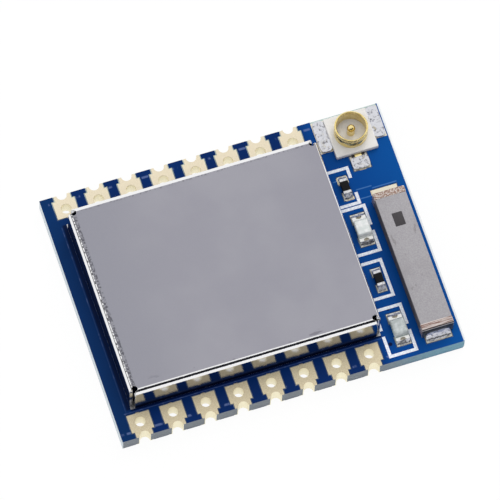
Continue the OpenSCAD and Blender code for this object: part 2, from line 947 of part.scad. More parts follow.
module at_lamp(i) {
    translate([small_x, small_y[i], board_t]) children();
}

module lamp_plate(notch = lamp_notch_r) {
    difference() {
        centred(lamp_w, lamp_l);
        for (s = sides) translate([0, s * lamp_l / 2]) circle(notch);
    }
}

module lamp_contact_layer() {
    intersection() {
        lamp_plate();
        for (s = sides)
            translate([0, s * (lamp_l - contact_l) / 2]) centred(lamp_w, contact_l);
    }
}

module lamp_contacts(i) {
    color([0.84, 0.82, 0.72]) at_lamp(i) {
        for (z = [0, lamp_base_t - contact_t])
            translate([0, 0, z]) linear_extrude(contact_t) lamp_contact_layer();
        linear_extrude(lamp_base_t) difference() {
            intersection() {
                for (s = sides) translate([0, s * lamp_l / 2]) circle(lamp_notch_r + contact_t);
                centred(lamp_w, lamp_l);
            }
            for (s = sides) translate([0, s * lamp_l / 2]) circle(lamp_notch_r);
        }
    }
}

// The two ends of the plate that the contacts cover, from height z0 up
module lamp_ends(z0, h) {
    translate([0, 0, z0]) linear_extrude(h) for (s = sides)
        translate([0, s * (lamp_l - contact_l + eps) / 2]) centred(lamp_w + 2 * eps, contact_l + eps);
}

module lamp_base(i) {
    color([0.78, 0.88, 0.84]) at_lamp(i) difference() {
        linear_extrude(lamp_base_t) lamp_plate(lamp_notch_r + contact_t);
        lamp_ends(-eps, contact_t + eps);
        lamp_ends(lamp_base_t - contact_t, contact_t + eps);
    }
}

module die_solid() {
    translate([-die_side / 2, -die_side / 2, lamp_base_t]) cube([die_side, die_side, die_h]);
}

module lamp_die(i) {
    color([0.30, 0.32, 0.30]) at_lamp(i) die_solid();
}

module lamp_resin(i) {
    color([0.93, 0.94, 0.94, 0.8]) at_lamp(i) difference() {
        translate([-lamp_w / 2, 0, 0]) rotate([90, 0, 90]) linear_extrude(lamp_w)
            polygon([[-resin_foot_l / 2, lamp_base_t], [resin_foot_l / 2, lamp_base_t],
                     [resin_top_l / 2, lamp_h], [-resin_top_l / 2, lamp_h]]);
        die_solid();
    }
}

// Solder at both ends of a part that lies along Y
module end_solder(l, w, toe, rise) {
    for (turn = [90, -90]) rotate(turn) translate([l / 2, 0, 0]) fillet(w, toe, rise);
}

module lamp_solder() {
    color([0.80, 0.80, 0.83]) {
        for (i = [0, 2]) at_resistor(i)
            end_solder(small_l, small_w, small_pad_out - solder_inset, resistor_solder_rise);
        for (i = [1, 3]) at_lamp(i)
            end_solder(lamp_l, lamp_w, lamp_pad_out - solder_inset, lamp_base_t);
    }
}

// ---- Parts under the shield ----

// A round dimple in the top of a chip, at its first corner
module chip_mark(l, w, top) {
    translate([chip_mark_inset - l / 2, w / 2 - chip_mark_inset, top - chip_mark_depth])
        cylinder(r = chip_mark_r, h = 2 * chip_mark_depth);
}

module controller_chip() {
    color([0.12, 0.12, 0.13])
        translate([controller_x, controller_y, board_t + land_t]) difference() {
            linear_extrude(controller_h - land_t) centred(controller_side, controller_side);
            chip_mark(controller_side, controller_side, controller_h - land_t);
        }
}

module controller_lands() {
    color([0.80, 0.80, 0.80])
        translate([controller_x, controller_y, board_t])
            linear_extrude(land_t) controller_lands_outline();
}

module memory_chip() {
    color([0.14, 0.14, 0.15])
        translate([memory_x, memory_y, board_t]) difference() {
            translate([0, 0, memory_lift]) linear_extrude(memory_h - memory_lift)
                centred(memory_l, memory_w);
            memory_leads_solid();
            chip_mark(memory_l, memory_w, memory_h);
        }
}

// A gull-wing lead: a foot on the board, a riser and a shoulder that enters the body
module lead_profile() {
    shoulder = (memory_h + memory_lift + lead_t) / 2;
    root = memory_w / 2 - lead_root_l;
    knee = memory_span / 2 - lead_foot_l;
    polygon([
        [root, shoulder], [knee, shoulder], [knee + lead_t, shoulder - lead_t],
        [knee + lead_t, lead_t], [memory_span / 2, lead_t], [memory_span / 2, 0],
        [knee, 0], [knee, shoulder - lead_t], [root, shoulder - lead_t]
    ]);
}

module memory_leads_solid() {
    for (turn = [0, 180]) for (k = [0:leads_per_side - 1])
        rotate(turn) translate([lead_x(k) - lead_w / 2, 0, 0])
            rotate([90, 0, 90]) linear_extrude(lead_w) lead_profile();
}

module memory_leads() {
    color([0.80, 0.80, 0.80])
        translate([memory_x, memory_y, board_t]) memory_leads_solid();
}

module crystal_case() {
    color([0.82, 0.78, 0.68])
        translate([crystal_x, crystal_y, board_t])
            linear_extrude(crystal_h - crystal_lid_t) centred(crystal_l, crystal_w);
}

module crystal_lid() {
    color([0.85, 0.84, 0.80])
        translate([crystal_x, crystal_y, board_t + crystal_h - crystal_lid_t])
            linear_extrude(crystal_lid_t)
                centred(crystal_l - 2 * crystal_lid_inset, crystal_w - 2 * crystal_lid_inset);
}

module inner_capacitors() {
    color([0.66, 0.52, 0.38]) translate([0, 0, board_t])
        at_places(capacitor_places) part_core(small_l, small_w, capacitor_h);
}

module inner_resistors() {
    color([0.10, 0.10, 0.11]) translate([0, 0, board_t])
        at_places(resistor_places) part_core(small_l, small_w, resistor_h);
}

module inner_coil() {
    color([0.40, 0.42, 0.44])
        translate([coil_x, coil_y, board_t]) part_core(coil_l, coil_w, coil_h);
}

module inner_caps() {
    color([0.84, 0.84, 0.85]) translate([0, 0, board_t]) {
        at_places(capacitor_places) part_caps(small_l, small_w, capacitor_h, cap_l);
        at_places(resistor_places) part_caps(small_l, small_w, resistor_h, cap_l);
        translate([coil_x, coil_y, 0]) part_caps(coil_l, coil_w, coil_h, coil_cap_l);
    }
}

laminate();
copper_top();
copper_bottom();
solder_mask_top();
solder_mask_bottom();
legend();
for (row = ROWS) for (i = [1:row_count])
    at_terminal(row, i) terminal();
shield_ring();
shield_can();
shield_solder();
component_pads();
inner_pads();
jack_base();
jack_shell();
jack_pin();
jack_lip();
jack_solder();
antenna_body();
antenna_bands();
antenna_mark();
antenna_solder();
resistor(0);  // resistor_back
resistor_caps(0);  // resistor_back_caps
resistor(2);  // resistor_front
resistor_caps(2);  // resistor_front_caps
lamp_base(1);  // lamp_back_base
lamp_contacts(1);  // lamp_back_contacts
lamp_die(1);  // lamp_back_die
lamp_resin(1);  // lamp_back_resin
lamp_base(3);  // lamp_front_base
lamp_contacts(3);  // lamp_front_contacts
lamp_die(3);  // lamp_front_die
lamp_resin(3);  // lamp_front_resin
lamp_solder();
controller_chip();
controller_lands();
memory_chip();
memory_leads();
crystal_case();
crystal_lid();
inner_capacitors();
inner_resistors();
inner_coil();
inner_caps();
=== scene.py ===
import math

import bmesh
import bpy
from mathutils import Matrix, Vector, noise


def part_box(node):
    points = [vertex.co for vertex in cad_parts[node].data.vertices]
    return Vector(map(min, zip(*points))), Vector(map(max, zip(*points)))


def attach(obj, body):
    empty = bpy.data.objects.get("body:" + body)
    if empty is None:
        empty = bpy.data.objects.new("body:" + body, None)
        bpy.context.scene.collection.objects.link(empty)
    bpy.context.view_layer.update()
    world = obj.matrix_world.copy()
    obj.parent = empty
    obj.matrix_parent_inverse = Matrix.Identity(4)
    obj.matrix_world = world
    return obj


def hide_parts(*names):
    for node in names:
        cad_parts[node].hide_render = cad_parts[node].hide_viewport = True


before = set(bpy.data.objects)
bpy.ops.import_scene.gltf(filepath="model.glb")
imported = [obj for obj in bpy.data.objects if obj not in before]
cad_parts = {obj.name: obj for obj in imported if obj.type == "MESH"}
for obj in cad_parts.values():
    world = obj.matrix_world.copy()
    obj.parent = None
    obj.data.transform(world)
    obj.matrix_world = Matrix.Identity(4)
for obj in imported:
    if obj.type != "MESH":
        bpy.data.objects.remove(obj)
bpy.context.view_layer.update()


# ---- Core of the board ----
# A sheet of woven glass in resin, routed out of a larger panel, so its edges show the pale cut
# layers. It is bare where the solder mask stops: round the pads, behind the jack and along the
# routed end. The classes here write every finish, and sizes are in millimetres throughout.

class Tone:
    """One output of a shader node: a number, colour or place that changes over a surface."""

    def __init__(self, finish, socket):
        self.finish = finish
        self.socket = socket

    def sum(self, operation, *others):
        return self.finish.node("ShaderNodeMath", {"operation": operation},
                                dict(enumerate((self, *others))))

    def __add__(self, other):
        return self.sum("ADD", other)

    __radd__ = __add__

    def __mul__(self, other):
        return self.sum("MULTIPLY", other)

    __rmul__ = __mul__

    def __sub__(self, other):
        return self.sum("SUBTRACT", other)

    def __rsub__(self, other):
        return (self * -1) + other

    def __abs__(self):
        return self.sum("ABSOLUTE")

    def most(self, other):
        return self.sum("MAXIMUM", other)

    def rise(self, low, high):
        """0 below low and 1 above high, with a soft step between; low may be the larger."""
        return self.finish.node("ShaderNodeMapRange", {"interpolation_type": "SMOOTHSTEP"},
                                {0: self, 1: low, 2: high})


class Finish:
    """A shader, the place on the piece in millimetres, and the nodes that feed them."""

    def __init__(self, name, constants=None, tree=None):
        if tree is None:
            self.material = bpy.data.materials.new(name)
            self.material.use_nodes = True
            tree = self.material.node_tree
        self.tree = tree
        self.tree.nodes.clear()
        if constants is None:
            return
        self.shader = self.node("ShaderNodeBsdfPrincipled", {}, constants).socket.node
        self.node("ShaderNodeOutputMaterial", {}, {"Surface": Tone(self, self.shader.outputs[0])})
        spot = self.node("ShaderNodeTexCoord", {}, {}, out="Object")
        self.place = self.node("ShaderNodeVectorMath", {"operation": "SCALE"}, {0: spot, "Scale": 1000})
        split = self.node("ShaderNodeSeparateXYZ", {}, {0: self.place}).socket.node
        self.x, self.y, self.z = (Tone(self, end) for end in split.outputs)

    def node(self, kind, settings, sockets, out=0):
        """Any node: its settings come first, then the values or links of its sockets."""
        made = self.tree.nodes.new(kind)
        for key, value in settings.items():
            setattr(made, key, value)
        for key, value in sockets.items():
            if isinstance(value, Tone):
                self.tree.links.new(value.socket, made.inputs[key])
            else:
                made.inputs[key].default_value = value
        return Tone(self, made.outputs[out]) if made.outputs else None

    def feed(self, socket, tone):
        self.tree.links.new(tone.socket, self.shader.inputs[socket])

    def mixed(self, factor, first, second):
        """The first colour where the factor is 0, and the second where it is 1."""
        return self.node("ShaderNodeMix", {"data_type": "RGBA"},
                         {0: factor, 6: first, 7: second}, out=2)

    def grain(self, per_mm, detail=3, stretch=(1, 1, 1), at=(0, 0, 0)):
        """Soft noise from 0 to 1, about as many lumps to the millimetre as per_mm says."""
        spot = self.node("ShaderNodeMapping", {}, {0: self.place, 1: at, 3: stretch})
        return self.node("ShaderNodeTexNoise", {}, {"Vector": spot, "Scale": per_mm, "Detail": detail})

    def patch(self, x0, x1, y0, y1, soft=0.03):
        """1 inside a rectangle on the board, fading to 0 over its soft edge."""
        along = self.x.rise(x0 - soft, x0 + soft) * self.x.rise(x1 + soft, x1 - soft)
        return along * self.y.rise(y0 - soft, y0 + soft) * self.y.rise(y1 + soft, y1 - soft)

    def disc(self, x, y, radius, soft=0.03):
        """1 inside a circle on the board, fading to 0 over its soft edge."""
        flat = self.node("ShaderNodeVectorMath", {"operation": "MULTIPLY"},
                         {0: self.place, 1: (1, 1, 0)})
        away = self.node("ShaderNodeVectorMath", {"operation": "DISTANCE"},
                         {0: flat, 1: (x, y, 0)}, out="Value")
        return away.rise(radius + soft, radius - soft)

    def relief(self, height, depth):
        """Bumps the surface by a height from 0 to 1 that stands for this depth in millimetres."""
        self.feed("Normal", self.node("ShaderNodeBump", {}, {"Strength": 1, "Distance": depth * 0.001,
                                                             "Height": height}))


def paint(red, green, blue):
    """A colour of 0 to 255 a channel, as the shader takes it."""
    def straight(c):
        c /= 255
        return c / 12.92 if c <= 0.04045 else ((c + 0.055) / 1.055) ** 2.4
    return (straight(red), straight(green), straight(blue), 1)


def dress(finish, *names):
    """Gives the solids of these names their finish."""
    for name in names:
        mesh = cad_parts[name].data
        mesh.materials.clear()
        mesh.materials.append(finish.material)


def span(node):
    """A solid's lowest and highest corner in millimetres."""
    low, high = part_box(node)
    return low * 1000, high * 1000


core_low, core_high = span("laminate")
laminate = Finish("laminate", {"Roughness": 0.72, "Specular IOR Level": 0.3})
layer = laminate.grain(9, 2, (0.25, 0.25, 3))
fibre = laminate.grain(26, 2, (1, 1, 0.5))
cut = laminate.mixed(laminate.x.rise(4.5, 9.5), paint(118, 124, 132), paint(98, 148, 170))
skin_out, skin_in = 0.01, 0.06
# Painted light: the left end is painted pale, partly the pale cut glass and partly the light falling on
# it from the left.
end_left = laminate.x.rise(core_low.x + skin_in, core_low.x + skin_out)
cut = laminate.mixed(end_left, cut, paint(196, 205, 211))
end_right = laminate.x.rise(core_high.x - skin_in, core_high.x - skin_out)
cut = laminate.mixed(end_right, cut, paint(28, 92, 132))
face = laminate.z.rise(core_high.z - 0.03, core_high.z - 0.005)
bare = laminate.mixed(laminate.y.rise(6.6, 7.8), paint(58, 82, 118), paint(176, 194, 190))
mask_end = span("solder_mask_top")[1].x
bare = laminate.mixed(laminate.x.rise(mask_end - 0.08, mask_end - 0.02), bare, paint(236, 240, 240))
cut = laminate.mixed(face, cut, bare)
cut = laminate.mixed((layer * 1.6 + fibre * 0.8 - 1.05) * 0.5, cut, paint(205, 214, 216))
laminate.feed("Base Color", cut)
laminate.relief(layer + fibre * 0.5, 0.012)
dress(laminate, "laminate")


# ---- Copper foil ----
# Etched copper on both faces of the core, nearly all of it under the mask: the ground pour, the
# radio lines and the short lines from the terminals. Round the pads it is bare, and plated.
copper = Finish("copper", {"Metallic": 1, "Roughness": 0.4})
bare_copper = copper.mixed(copper.grain(4), paint(196, 124, 84), paint(224, 160, 118))
row_y, shield_end = 6.3, 5.9
plated = abs(copper.y).rise(row_y - 0.05, row_y + 0.05)
plated = plated.most(copper.x.rise(shield_end - 0.05, shield_end + 0.05))
copper.feed("Base Color", copper.mixed(plated, bare_copper, paint(214, 202, 172)))
dress(copper, "copper_top", "copper_bottom")


# ---- Solder mask ----
# Blue resin printed over both faces and cured. It is painted lighter and greener towards the antenna
# end, partly for the copper pour under it and partly as painted light, and nearly navy between the
# terminals. A few buried lines and two filled vias show through it. Along the shield's left and front
# foot lie a painted shadow and a pale painted highlight line, and pale dashes on the webs near the
# edges are painted highlights too.
shield_low, shield_high = span("shield_can")
mask = Finish("solder_mask", {"Specular IOR Level": 0.06, "Roughness": 0.35})
cloud = mask.grain(0.35, 2)
weave = mask.grain(5, 3, (1, 0.6, 1))
# Painted light: the blue is painted lighter towards the antenna end, partly for the copper pour and
# partly as light.
blue = mask.mixed(mask.x.rise(-10.2, -8.6), paint(6, 44, 92), paint(3, 36, 90))
blue = mask.mixed(mask.x.rise(4.6, 6.6), blue, paint(3, 66, 138))
blue = mask.mixed(mask.x.rise(7.4, 10.2), blue, paint(6, 74, 146))
blue = mask.mixed((cloud - 0.42) * 0.5, blue, paint(6, 56, 124))
line_w = 0.06
traces = mask.patch(7.45, 8.4, 3.0, 3.0 + line_w)
for x0, x1, y0 in ((8.4, 9.9, 2.84), (7.5, 8.15, 2.38), (6.3, 6.55, 3.86)):
    traces = traces.most(mask.patch(x0, x1, y0, y0 + line_w))
blue = mask.mixed(traces * 0.5, blue, paint(90, 140, 196))
# Painted highlights: a pale line along the shield's front and left side, and pale dashes on the webs
# near the edges, stand for light caught on ridges of the mask.
glints = mask.grain(3, 2, (1, 0.2, 1)).rise(0.5, 0.66)
highlight_soft = 0.025
ridge_highlight = mask.patch(-9.9, shield_end, -6.41, -6.37, highlight_soft) * (glints * 0.6 + 0.4)
streaks = mask.grain(2.5, 2, (0.2, 1, 1), (4, 0, 0)).rise(0.5, 0.66)
ridge_highlight = ridge_highlight.most(mask.patch(-9.78, -9.74, -row_y, 6, highlight_soft) * (streaks * 0.6 + 0.2))
webs = abs(mask.y).rise(7.5, 7.56) * abs(mask.y).rise(7.7, 7.62) * mask.x.rise(6.3, 6.1)
wear_and_highlights = webs * mask.grain(2.4, 2, (1, 0.3, 1), (7, 0, 0)).rise(0.48, 0.6)
ridge_highlight = ridge_highlight.most(wear_and_highlights)
blue = mask.mixed(ridge_highlight * 0.6, blue, paint(104, 122, 168))
foot_shade = mask.patch(shield_low.x - 0.26, shield_low.x, shield_low.y, shield_high.y, 0.06)
front_shade = mask.patch(shield_low.x, shield_high.x, shield_low.y - 0.12, shield_low.y + 0.1, 0.05)
blue = mask.mixed(foot_shade.most(front_shade) * 0.8, blue, paint(3, 10, 40))
vias = mask.disc(6.22, -6.9, 0.12).most(mask.disc(6.8, -4.75, 0.1))
blue = mask.mixed(vias, blue, paint(4, 18, 58))
mask.feed("Base Color", blue)
mask.relief(weave * 0.6 + cloud, 0.006)
dress(mask, "solder_mask_top", "solder_mask_bottom")


# ---- Printed frames ----
# White ink screened on the mask round each small part, a little thin and ragged where the mesh
# of the screen lifted.
ink = Finish("print", {"Roughness": 0.6, "Specular IOR Level": 0.3})
ragged = ink.grain(9, 3)
ink.feed("Base Color", ink.mixed(ragged.rise(0.42, 0.62), paint(214, 220, 232), paint(240, 242, 247)))
ink.relief(ragged, 0.01)
dress(ink, "legend")


# ---- Terminals ----
# A pad on each face joined by a plated hole and a plated half hole in the edge. Nickel and a pale
# flash of gold, matt on the pads and painted lighter inside the holes, as a painted reflection of
# the white floor.
plating = Finish("terminal_plating", {"Roughness": 0.42, "Specular IOR Level": 0.4})
pitted = plating.grain(14, 3)
board_top = span("solder_mask_top")[1].z
pad = plating.mixed(pitted.rise(0.4, 0.66), paint(206, 192, 160), paint(220, 208, 178))
pad = plating.mixed(plating.y.rise(0, 7), pad, paint(226, 214, 188))
# Painted reflection: inside the holes the plating is painted lighter, for the white floor it reflects.
deep = plating.z.rise(board_top - 0.02, board_top - 0.06)
plating.feed("Base Color", plating.mixed(deep, pad, paint(250, 242, 212)))
plating.feed("Metallic", deep * 0.6 + 0.35)
plating.relief(pitted, 0.006)
rows = [f"{row}_terminal_{i}" for row in ("front", "back") for i in range(1, 9)]
dress(plating, *rows)


# ---- Shield's ring ----
# The ring of tinned copper that the shield stands on, and the solder that holds its foot.
tin = Finish("ring_tin", {"Metallic": 1, "Roughness": 0.35})
tin.feed("Base Color", tin.mixed(tin.grain(5), paint(190, 190, 192), paint(222, 222, 224)))
dress(tin, "shield_ring")
solder = Finish("solder", {"Metallic": 1})
lumps = solder.grain(2.6, 3)
dimples = solder.grain(6, 2)
# Painted shade: the solder is painted darker in the low dimples of its surface.
out_of_pits = dimples.rise(0.32, 0.46)
solder.feed("Base Color", solder.mixed(out_of_pits, paint(150, 150, 158), paint(218, 219, 225)))
solder.feed("Roughness", lumps * 0.25 + 0.2)
solder.relief(lumps + dimples * 0.4, 0.07)
dress(solder, "shield_solder")


# ---- Shield ----
# Tinned steel sheet, folded down on four sides with a relief hole at each corner. Its top is satin
# from the rolling mill and painted mid grey; its bends are smooth and its walls nearly as smooth, and
# both are painted bright as painted reflections, with painted reflection lines on the bends and
# painted shade at the walls' foot.
bend_r, relief_r, sheet_t, wall_end = 0.32, 0.18, 0.2, 0.07
middle = (shield_low + shield_high) / 2
top_z = shield_high.z
fold_z = top_z - bend_r
flat_x, flat_y = shield_high.x - bend_r, shield_high.y - bend_r
flat_left = shield_low.x + bend_r
sheet = Finish("shield_sheet", {"Metallic": 1})
cloudy = sheet.grain(0.25, 3)
fine = sheet.grain(16, 3)
specks = sheet.grain(9, 2, (1, 1, 0.3))
satin = sheet.mixed(cloudy.rise(0.35, 0.7), paint(161, 160, 170), paint(167, 166, 175))
satin = sheet.mixed(sheet.x.rise(shield_low.x, shield_low.x + 6), paint(156, 156, 166), satin)
satin = sheet.mixed((fine - 0.5) * 0.4, satin, paint(186, 185, 192))
scuffs = sheet.grain(3.2, 3, (0.35, 1, 1)).rise(0.66, 0.72) * sheet.y.rise(-5.2, -5.9)
scuffs = scuffs.most(specks.rise(0.52, 0.6) * sheet.y.rise(flat_y - 0.12, flat_y - 0.02))
satin = sheet.mixed(scuffs * 0.6, satin, paint(112, 110, 118))
flat = sheet.z.rise(top_z - 0.003, top_z - 0.001)
on_right = sheet.x.rise(flat_x - 0.005, flat_x + 0.005)
on_left = sheet.x.rise(flat_left + 0.005, flat_left - 0.005)
# Painted reflection: the right bend is painted the top's grey, with its roughness, down to about 40
# degrees.
right_bend_grey = on_right * sheet.z.rise(top_z - 0.075, top_z - 0.06)
# Painted reflection: along the top of the left bend a mottled grey band, reaching a little onto the
# top, then a dotted dark row and a dark line.
by_left = sheet.x.rise(flat_left + 0.14, flat_left + 0.06)
left_edge_band = by_left * sheet.z.rise(top_z - 0.02, top_z - 0.01)
dots = on_left * sheet.z.rise(top_z - 0.05, top_z - 0.04) * specks.rise(0.5, 0.56)
dark_line = on_left * sheet.z.rise(top_z - 0.075, top_z - 0.065)
dark_line = dark_line * sheet.z.rise(top_z - 0.04, top_z - 0.05)
# Painted reflection: the bends and walls are painted much brighter than the top, brightest on the upper
# bends.
lower = sheet.z.rise(fold_z + 0.02, fold_z - 0.02)
reflecting_sheet = sheet.mixed(lower, paint(242, 242, 243), paint(196, 196, 199))
# Painted shade: the walls are painted dark near their foot.
foot = sheet.z.rise(board_top + 0.75, board_top + 0.35)
reflecting_sheet = sheet.mixed(foot * 0.8, reflecting_sheet, paint(84, 84, 92))
reflecting_sheet = sheet.mixed(dots.most(dark_line) * 0.9, reflecting_sheet, paint(52, 52, 58))
dull = flat.most(right_bend_grey)
skin = sheet.mixed(dull, reflecting_sheet, satin)
mottled = sheet.mixed(specks.rise(0.42, 0.58), paint(104, 104, 112), paint(158, 158, 166))
sheet.feed("Base Color", sheet.mixed(left_edge_band, skin, mottled))
sheet.feed("Roughness", dull.most(left_edge_band) * 0.34 + 0.06)
sheet.relief(fine, 0.004)


def set_down(bm, name, finish, slot, *nodes, crease=40):
    """Turns a shape in millimetres into a piece of the module, in place of these solids."""
    bmesh.ops.remove_doubles(bm, verts=bm.verts, dist=1e-5)
    bmesh.ops.recalc_face_normals(bm, faces=bm.faces)
    bmesh.ops.scale(bm, vec=(0.001, 0.001, 0.001), verts=bm.verts)
    for face in bm.faces:
        face.smooth = len(face.verts) < 5
    for edge in bm.edges:
        edge.smooth = len(edge.link_faces) == 2 and edge.calc_face_angle() < math.radians(crease)
    mesh = bpy.data.meshes.new(name)
    bm.to_mesh(mesh)
    bm.free()
    piece = bpy.data.objects.new(name, mesh)
    bpy.context.scene.collection.objects.link(piece)
    mesh.materials.append(finish.material)
    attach(piece, "root")
    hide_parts(*nodes)
    return piece


can = bmesh.new()
half = (flat_x - middle.x, flat_y - middle.y)
square = math.pi / 2
arc = 12
outline = []
for k, (sx, sy) in enumerate(((1, -1), (1, 1), (-1, 1), (-1, -1))):
    for step in range(arc + 1):
        a = math.pi + square * (k - step / arc)
        outline.append(can.verts.new((middle.x + sx * half[0] + relief_r * math.cos(a),
                                      middle.y + sy * half[1] + relief_r * math.sin(a), top_z)))
can.faces.new(outline)
under_bend = 0.05
for k in range(4):
    ends = [outline[k * (arc + 1) + arc], outline[(k + 1) * (arc + 1) % len(outline)]]
    fold = can.edges.get(ends)
    outward = Vector((math.cos(square * k), math.sin(square * k), 0))
    along = Vector((-outward.y, outward.x, 0))
    run = half[1 - k % 2]
    hinge = Vector((middle.x, middle.y, fold_z)) + outward * half[k % 2]
    known = set(can.verts)
    bent = bmesh.ops.spin(can, geom=ends + [fold], cent=hinge, axis=along, dvec=(0, 0, 0),
                          angle=square, steps=24, use_merge=False)
    for v in set(can.verts) - known:
        away = v.co - hinge
        bend = bend_r * math.atan2(away.dot(outward), away.z)
        notch = math.sqrt(max(0, relief_r ** 2 - bend ** 2))
        v.co += along * (math.copysign(run - notch, away.dot(along)) - away.dot(along))
    last = [g for g in bent["geom_last"] if isinstance(g, bmesh.types.BMEdge)]
    for drop, widen in ((under_bend, wall_end), (fold_z - under_bend - shield_low.z, 0)):
        grown = bmesh.ops.extrude_edge_only(can, edges=last)["geom"]
        row = {g for g in grown if isinstance(g, bmesh.types.BMVert)}
        last = [g for g in grown if isinstance(g, bmesh.types.BMEdge) and row.issuperset(g.verts)]
        for v in row:
            v.co.z -= drop
            v.co += along * math.copysign(widen, (v.co - hinge).dot(along))
shell = set_down(can, "shield_shell", sheet, "shield_sheet", "shield_can")
wall = shell.modifiers.new("sheet", "SOLIDIFY")
wall.thickness = sheet_t * 0.001
wall.offset = -1
rims = shell.modifiers.new("rims", "BEVEL")
rims.width = 0.015 * 0.001
rims.segments = 2
rims.limit_method = "ANGLE"
rims.angle_limit = math.radians(50)


# ---- Pads of the parts beside the shield ----
# Pads for the jack, the antenna and the small parts, etched with the foil. They are plated like
# the terminals, and solder covers most of each.
pad_gold = Finish("pad_plating", {"Roughness": 0.4, "Metallic": 0.7})
pad_grain = pad_gold.grain(8)
pad_gold.feed("Base Color", pad_gold.mixed(pad_grain, paint(222, 214, 192), paint(236, 230, 212)))
dress(pad_gold, "component_pads", "inner_pads")


# ---- Chips under the shield ----
# Moulded packages in black resin with plated leads, a ceramic crystal with a metal lid, brown
# capacitors, black resistors and a ferrite coil, all out of sight once the shield is soldered on.
def plain(name, roughness, metallic, dark, light, per_mm):
    finish = Finish(name, {"Roughness": roughness, "Metallic": metallic})
    grain = finish.grain(per_mm)
    finish.feed("Base Color", finish.mixed(grain, paint(*dark), paint(*light)))
    finish.relief(grain, 0.01)
    return finish


dress(plain("chip_resin", 0.6, 0, (28, 28, 30), (44, 44, 47), 12), "controller_chip", "memory_chip")
dress(plain("lead_metal", 0.3, 1, (196, 196, 198), (228, 228, 230), 6),
      "controller_lands", "memory_leads", "inner_caps")
dress(plain("crystal_ceramic", 0.5, 0, (196, 186, 160), (212, 203, 178), 8), "crystal_case")
dress(plain("crystal_lid", 0.35, 1, (196, 194, 188), (218, 216, 210), 3), "crystal_lid")
dress(plain("capacitor_ceramic", 0.5, 0, (150, 116, 84), (172, 136, 100), 8), "inner_capacitors")
dress(plain("inner_resistor_coat", 0.3, 0, (22, 22, 24), (34, 34, 36), 8), "inner_resistors")
dress(plain("coil_ferrite", 0.55, 0, (78, 80, 84), (96, 98, 102), 9), "inner_coil")


# ---- Antenna ----
# A bar of grey fired ceramic with ground edges, and a dark glazed spot on top. Silver paste was
# fired over both ends and is soldered to the pads.
def block(bm, low, high, edge=0.02, steps=2):
    """Adds a box between two corners with its edges rounded."""
    centre = (Vector(low) + Vector(high)) / 2
    size = Vector(high) - Vector(low)
    place = Matrix.Translation(centre) @ Matrix.Diagonal((*size, 1))
    made = bmesh.ops.create_cube(bm, size=1, matrix=place)
    edges = {e for v in made["verts"] for e in v.link_edges}
    bmesh.ops.bevel(bm, geom=list(edges), offset=edge, segments=steps, affect="EDGES",
                    profile=0.5, material=-1)


ant_low, ant_high = span("antenna_bands")
band_l = 0.45
ceramic = Finish("ceramic", {"Roughness": 0.6, "Specular IOR Level": 0.3})
speck = ceramic.grain(15, 3)
stain = ceramic.grain(0.8, 3)
scratch = ceramic.grain(1.1, 4, (2.6, 0.7, 1), (3, 1, 0)).rise(0.635, 0.67)
grey = ceramic.mixed(speck.rise(0.3, 0.7), paint(150, 147, 152), paint(164, 162, 165))
grey = ceramic.mixed(stain.rise(0.5, 0.75) * 0.4, grey, paint(142, 138, 142))
grey = ceramic.mixed(scratch * 0.45, grey, paint(112, 106, 108))
# Painted shade: the bar's left face is painted dark.
flank = ceramic.x.rise(ant_low.x + 0.05, ant_low.x + 0.02)
ceramic.feed("Base Color", ceramic.mixed(flank * 0.85, grey, paint(54, 48, 54)))
ceramic.relief(speck, 0.008)
bar = bmesh.new()
band_t, end_t, lift, ground_edge = 0.012, 0.03, 0.008, 0.05
block(bar, (ant_low.x + band_t, ant_low.y + end_t, ant_low.z + end_t),
      (ant_high.x - band_t, ant_high.y - end_t, ant_high.z - lift), ground_edge, 3)
set_down(bar, "antenna_bar", ceramic, "ceramic", "antenna_body")

band = Finish("band_metal", {"Roughness": 0.38, "Metallic": 0.8})
flake = band.grain(9, 3, (1, 1.6, 1))
stripe = band.grain(7, 2, (0.15, 4, 1))
back_band = band.mixed(flake.rise(0.46, 0.56), paint(150, 118, 104), paint(214, 206, 200))
front_band = band.mixed(stripe.rise(0.44, 0.56), paint(132, 100, 90), paint(214, 204, 200))
banded = band.mixed(band.y.rise(-4, -2), front_band, back_band)
ends = band.y.rise(ant_low.y + 0.03, ant_low.y + 0.01)
up_face = band.z.rise(board_top + 0.1, ant_high.z - 0.14)
shade = band.mixed(up_face, paint(120, 126, 130), paint(44, 48, 52))
glint = band.z.rise(ant_high.z - 0.15, ant_high.z - 0.11)
glint = glint * band.z.rise(ant_high.z - 0.04, ant_high.z - 0.07)
front_face = band.mixed(glint, shade, paint(228, 222, 216))
banded = band.mixed(ends, banded, front_face)
# Painted reflection: a dark line along the rounded top edge of the front end.
dark_edge_reflection = band.y.rise(ant_low.y + 0.07, ant_low.y + 0.05)
dark_edge_reflection = dark_edge_reflection * band.z.rise(ant_high.z - 0.05, ant_high.z - 0.03)
band.feed("Base Color", band.mixed(dark_edge_reflection * 0.8, banded, paint(58, 46, 42)))
band.relief(flake + stripe * 0.6, 0.02)
caps = bmesh.new()
for y0, y1 in ((ant_low.y, ant_low.y + band_l), (ant_high.y - band_l, ant_high.y)):
    block(caps, (ant_low.x, y0, ant_low.z), (ant_high.x, y1, ant_high.z), ground_edge, 3)
set_down(caps, "antenna_ends", band, "band_metal", "antenna_bands")

glaze = plain("ceramic_mark", 0.4, 0, (44, 41, 45), (54, 50, 54), 10)
mark_low, mark_high = span("antenna_mark")
spot = bmesh.new()
mark_top = ant_high.z - 0.001
block(spot, mark_low, (mark_high.x, mark_high.y, mark_top), 0.006)
set_down(spot, "antenna_spot", glaze, "ceramic_mark", "antenna_mark")


